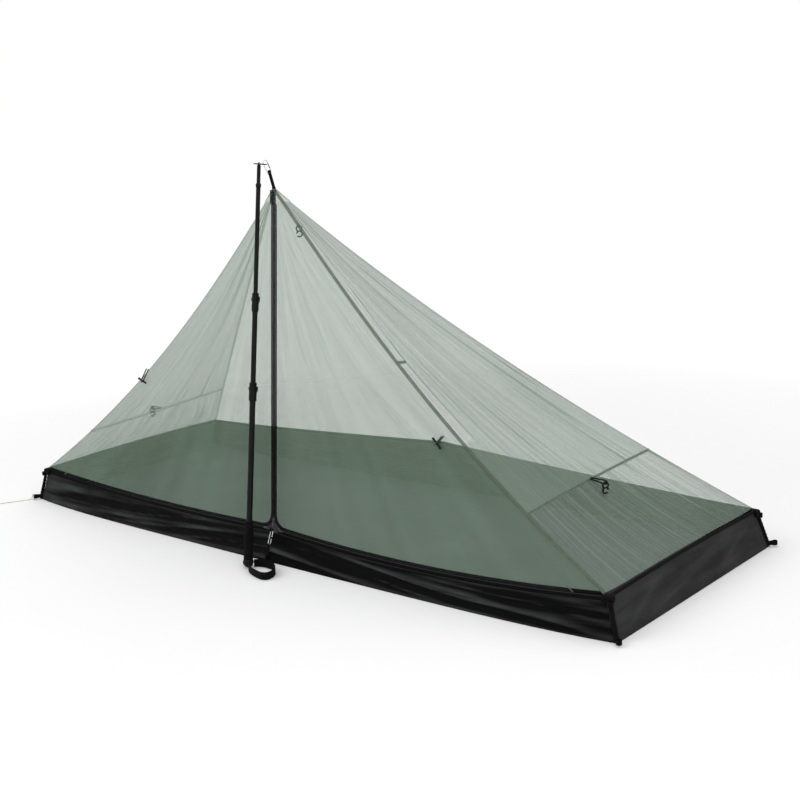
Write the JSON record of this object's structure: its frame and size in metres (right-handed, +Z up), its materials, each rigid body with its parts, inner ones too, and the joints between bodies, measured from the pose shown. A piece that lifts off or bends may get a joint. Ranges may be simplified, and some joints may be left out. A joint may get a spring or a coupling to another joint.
{
  "type": "trekking pole tent",
  "caption": "One-person net inner tent with zipped front doors on a dark tray floor, its peak hung from an upturned trekking pole at the front.",
  "frame": {"origin": "middle of the underside of the groundsheet, which lies on the ground", "axes": "+X along the tent towards the end on the right as seen from the front, +Y from the zipped front towards the back, +Z up"},
  "size_m": [2.3032, 0.9401, 1.0875],
  "materials": {
    "floor_cloth": "coated black cloth",
    "net_cloth": "grey-green see-through net",
    "seam_tape": "folded net and seam tape",
    "black_webbing": "woven black webbing and elastic",
    "zip_coil": "black coil zip on its tape",
    "bright_steel": "bright metal",
    "black_plastic": "moulded black plastic",
    "grey_plastic": "moulded grey plastic",
    "grip_foam": "black foam",
    "tube_metal": "black anodised tube",
    "pale_cord": "pale yellow braided cord"
  },
  "bodies": {
    "root": {"groundsheet": "floor_cloth", "wall_front": "floor_cloth", "wall_back": "floor_cloth", "wall_left": "floor_cloth", "wall_right": "floor_cloth", "wall_binding": "black_webbing", "corner_webbing_front_left": "black_webbing", "corner_webbing_front_right": "black_webbing", "corner_webbing_back_left": "black_webbing", "corner_webbing_back_right": "black_webbing", "back_panel": "net_cloth", "end_panel_left_upper": "net_cloth", "end_panel_left_lower": "net_cloth", "end_panel_right_upper": "net_cloth", "end_panel_right_lower": "net_cloth", "ridge_strip_left": "net_cloth", "ridge_strip_right": "net_cloth", "zip_wall_left": "zip_coil", "zip_wall_right": "zip_coil", "apex_patch": "seam_tape", "apex_webbing": "black_webbing", "carabiner": "bright_steel", "eyelet_tab": "black_webbing", "eyelet_ring": "bright_steel", "foot_loop": "black_webbing", "foot_hook": "bright_steel", "foot_strap": "black_webbing", "guy_cord": "pale_cord", "pole_grip": "grip_foam", "pole_grip_cap": "black_plastic", "pole_lower_tube": "tube_metal", "pole_lower_clamp": "black_plastic", "wrist_strap": "black_webbing"},
    "door_left": {"door_left": "net_cloth", "zip_door_left": "zip_coil"},
    "door_right": {"door_right": "net_cloth", "zip_door_right": "zip_coil"},
    "slider_center": {"zip_slider_center": "bright_steel"},
    "slider_left": {"zip_slider_left": "bright_steel"},
    "slider_right": {"zip_slider_right": "bright_steel"},
    "pull_center": {"zip_pull_center": "bright_steel"},
    "pull_left": {"zip_pull_left": "bright_steel"},
    "pull_right": {"zip_pull_right": "bright_steel"},
    "gate": {"carabiner_gate": "black_plastic"},
    "toggle_left": {"toggle_cord_left": "black_webbing", "toggle_left": "black_plastic"},
    "toggle_right": {"toggle_cord_right": "black_webbing", "toggle_right": "black_plastic"},
    "tieout_left": {"tieout_left_cord": "black_webbing", "tieout_left_hook": "black_plastic"},
    "tieout_right": {"tieout_right_cord": "black_webbing", "tieout_right_hook": "black_plastic"},
    "lantern": {"lantern_cord": "black_webbing", "lantern_hook": "grey_plastic"},
    "pole_middle": {"pole_middle_tube": "tube_metal", "pole_upper_clamp": "black_plastic"},
    "pole_tip": {"pole_tip_tube": "tube_metal", "pole_ferrule": "black_plastic"},
    "lever_lower": {"pole_lower_lever": "black_plastic"},
    "lever_upper": {"pole_upper_lever": "black_plastic"}
  },
  "joints": [
    {"name": "door_left_swing", "type": "hinge", "parent": "root", "child": "door_left", "pos_m": [-0.48692, -0.33383, 0.51144], "axis": [0.7585, 0.0604, 0.6489], "range_deg": [0, 45]},
    {"name": "door_right_swing", "type": "hinge", "parent": "root", "child": "door_right", "pos_m": [0.48704, -0.33383, 0.50932], "axis": [-0.7569, 0.0602, 0.6507], "range_deg": [0, 110]},
    {"name": "zip_center_slide", "type": "slide", "parent": "root", "child": "slider_center", "axis": [0, 0.1042, 0.9946], "range_m": [0, 0.84]},
    {"name": "zip_left_travel", "type": "hinge", "parent": "root", "child": "slider_left", "pos_m": [-0.37268, -0.37932, 10.3104], "axis": [0.0112, 0.9999, 0], "range_deg": [0, 5.65]},
    {"name": "zip_right_travel", "type": "hinge", "parent": "root", "child": "slider_right", "pos_m": [0.45099, -0.37844, 5.3808], "axis": [0.0112, -0.9999, 0], "range_deg": [0, 10.9]},
    {"name": "pull_center_swing", "type": "hinge", "parent": "slider_center", "child": "pull_center", "pos_m": [0, -0.38493, 0.10639], "axis": [-1, 0, 0], "range_deg": [0, 120]},
    {"name": "pull_left_swing", "type": "hinge", "parent": "slider_left", "child": "pull_left", "pos_m": [-0.02204, -0.387, 0.08322], "axis": [-0.0343, 0.0004, 0.9994], "range_deg": [0, 120]},
    {"name": "pull_right_swing", "type": "hinge", "parent": "slider_right", "child": "pull_right", "pos_m": [0.02201, -0.387, 0.08218], "axis": [-0.0807, -0.0009, -0.9967], "range_deg": [0, 120]},
    {"name": "carabiner_gate_hinge", "type": "hinge", "parent": "root", "child": "gate", "pos_m": [-0.0024, -0.29372, 1.06401], "axis": [0.9873, -0.157, 0.0229], "range_deg": [0, 15], "stiffness_Nm_per_rad": 0.02},
    {"name": "toggle_left_swing", "type": "hinge", "parent": "root", "child": "toggle_left", "pos_m": [-0.54239, -0.3346, 0.47783], "axis": [-0.9457, 0.0339, 0.3232], "range_deg": [0, 60]},
    {"name": "toggle_right_swing", "type": "hinge", "parent": "door_right", "child": "toggle_right", "pos_m": [0.59275, -0.3467, 0.4124], "axis": [-0.6778, 0.0766, 0.7312], "range_deg": [0, 60]},
    {"name": "tieout_left_swing", "type": "hinge", "parent": "root", "child": "tieout_left", "pos_m": [-0.83386, -0.06849, 0.26815], "axis": [0, 1, 0], "range_deg": [0, 70]},
    {"name": "tieout_right_swing", "type": "hinge", "parent": "root", "child": "tieout_right", "pos_m": [0.83386, -0.06849, 0.26815], "axis": [0, -1, 0], "range_deg": [0, 70]},
    {"name": "lantern_swing", "type": "hinge", "parent": "root", "child": "lantern", "pos_m": [0.0879, -0.28749, 0.91], "axis": [0.8, 0.6, 0], "range_deg": [-30, 8]},
    {"name": "pole_middle_slide", "type": "slide", "parent": "root", "child": "pole_middle", "axis": [0, 0.1441, 0.9896], "range_m": [-0.18, 0]},
    {"name": "pole_tip_slide", "type": "slide", "parent": "pole_middle", "child": "pole_tip", "axis": [0, 0.1441, 0.9896], "range_m": [-0.27, 0]},
    {"name": "lever_lower_swing", "type": "hinge", "parent": "root", "child": "lever_lower", "pos_m": [0.0055, -0.41323, 0.48534], "axis": [0, -0.1441, -0.9896], "range_deg": [0, 110]},
    {"name": "lever_upper_swing", "type": "hinge", "parent": "pole_middle", "child": "lever_upper", "pos_m": [0.0045, -0.37849, 0.72382], "axis": [0, -0.1441, -0.9896], "range_deg": [0, 110]}
  ]
}
